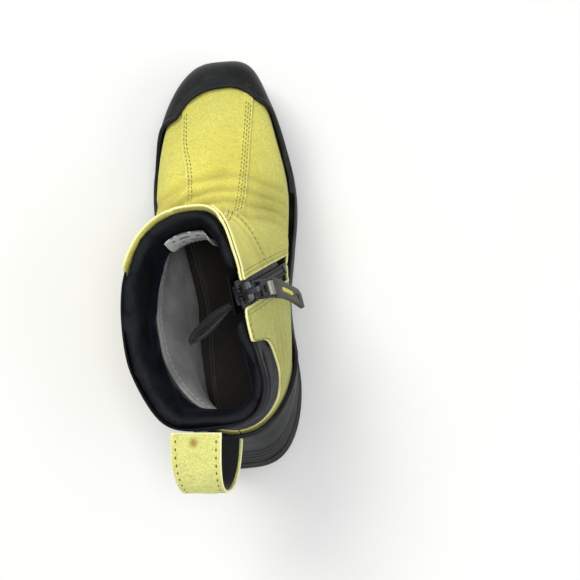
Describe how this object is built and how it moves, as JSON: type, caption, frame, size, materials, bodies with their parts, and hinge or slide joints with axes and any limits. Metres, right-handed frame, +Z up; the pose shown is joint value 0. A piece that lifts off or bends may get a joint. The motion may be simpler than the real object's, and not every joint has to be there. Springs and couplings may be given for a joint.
{
  "type": "suede zip ankle boot",
  "caption": "Left ankle boot of suede with a side zip, padded collar, felt lining, rubber toe rand and heel cup, pull loops and a lugged sole.",
  "frame": {"origin": "on the ground under the centre of the heel", "axes": "+Z up, +Y to the toe, +X to the inner (medial) side of the foot"},
  "size_m": [0.1202, 0.3218, 0.1657],
  "materials": {
    "suede": "napped yellow suede, matt, with worn and greener patches",
    "softshell": "fine black stretch softshell, slight sheen",
    "sole_rubber": "matt black rubber",
    "rand_rubber": "smooth black rubber with a soft sheen",
    "felt": "grey wool felt",
    "foam": "grey foam",
    "footbed": "dark felt over foam",
    "board": "stiff fibre board",
    "shank_steel": "plain steel strip",
    "webbing": "black woven tape",
    "label": "blank woven label",
    "zip_plastic": "moulded black zip teeth",
    "zip_metal": "black enamelled metal",
    "barrel_metal": "worn grey metal",
    "grip_plastic": "moulded dark grey rubbery plastic"
  },
  "bodies": {
    "boot": {"outsole": "sole_rubber", "midsole": "sole_rubber", "shank": "shank_steel", "insole_board": "board", "footbed": "footbed", "vamp_panel": "suede", "medial_forepart": "suede", "medial_quarter": "suede", "lateral_quarter": "suede", "zip_top_patch": "suede", "toe_rand": "rand_rubber", "heel_cup": "rand_rubber", "toe_puff": "board", "heel_counter": "board", "foam_interlining": "foam", "felt_lining": "felt", "collar_pad": "softshell", "ankle_panel": "softshell", "zip_gusset": "webbing", "collar_label": "label", "zip_teeth_front": "zip_plastic", "zip_teeth_rear": "zip_plastic", "zip_bottom_stop": "zip_metal", "zip_top_stop_front": "zip_metal", "zip_top_stop_rear": "zip_metal", "zip_tape_front": "webbing", "zip_tape_rear": "webbing"},
    "slider": {"zip_slider": "zip_metal"},
    "link": {"puller_link": "zip_metal"},
    "grip": {"puller_barrel": "barrel_metal", "puller_grip": "grip_plastic"},
    "heel_loop": {"heel_loop_suede": "suede", "heel_loop_webbing": "webbing"},
    "finger_loop": {"finger_loop": "webbing"}
  },
  "joints": [
    {"name": "zip_slide", "type": "slide", "parent": "boot", "child": "slider", "axis": [0.2922, 0.3428, -0.8928], "range_m": [0, 0.08], "deforming": ["zip_teeth_front", "zip_teeth_rear"]},
    {"name": "puller_lift", "type": "hinge", "parent": "slider", "child": "link", "pos_m": [0.01649, 0.05659, 0.14756], "axis": [0.1501, -0.984, -0.0959], "range_deg": [-20, 110]},
    {"name": "grip_fold", "type": "hinge", "parent": "link", "child": "grip", "pos_m": [0.02688, 0.0594, 0.13505], "axis": [0.1501, -0.984, -0.0959], "range_deg": [0, 65]},
    {"name": "heel_loop_flex", "type": "hinge", "parent": "boot", "child": "heel_loop", "pos_m": [-0.02069, -0.0266, 0.1248], "axis": [-0.9925, 0.1219, 0], "range_deg": [-25, 30], "deforming": ["heel_loop_suede", "heel_loop_webbing"]},
    {"name": "finger_loop_swing", "type": "hinge", "parent": "boot", "child": "finger_loop", "pos_m": [0.00144, 0.04977, 0.13982], "axis": [0, 0, 1], "range_deg": [-25, 31]}
  ]
}
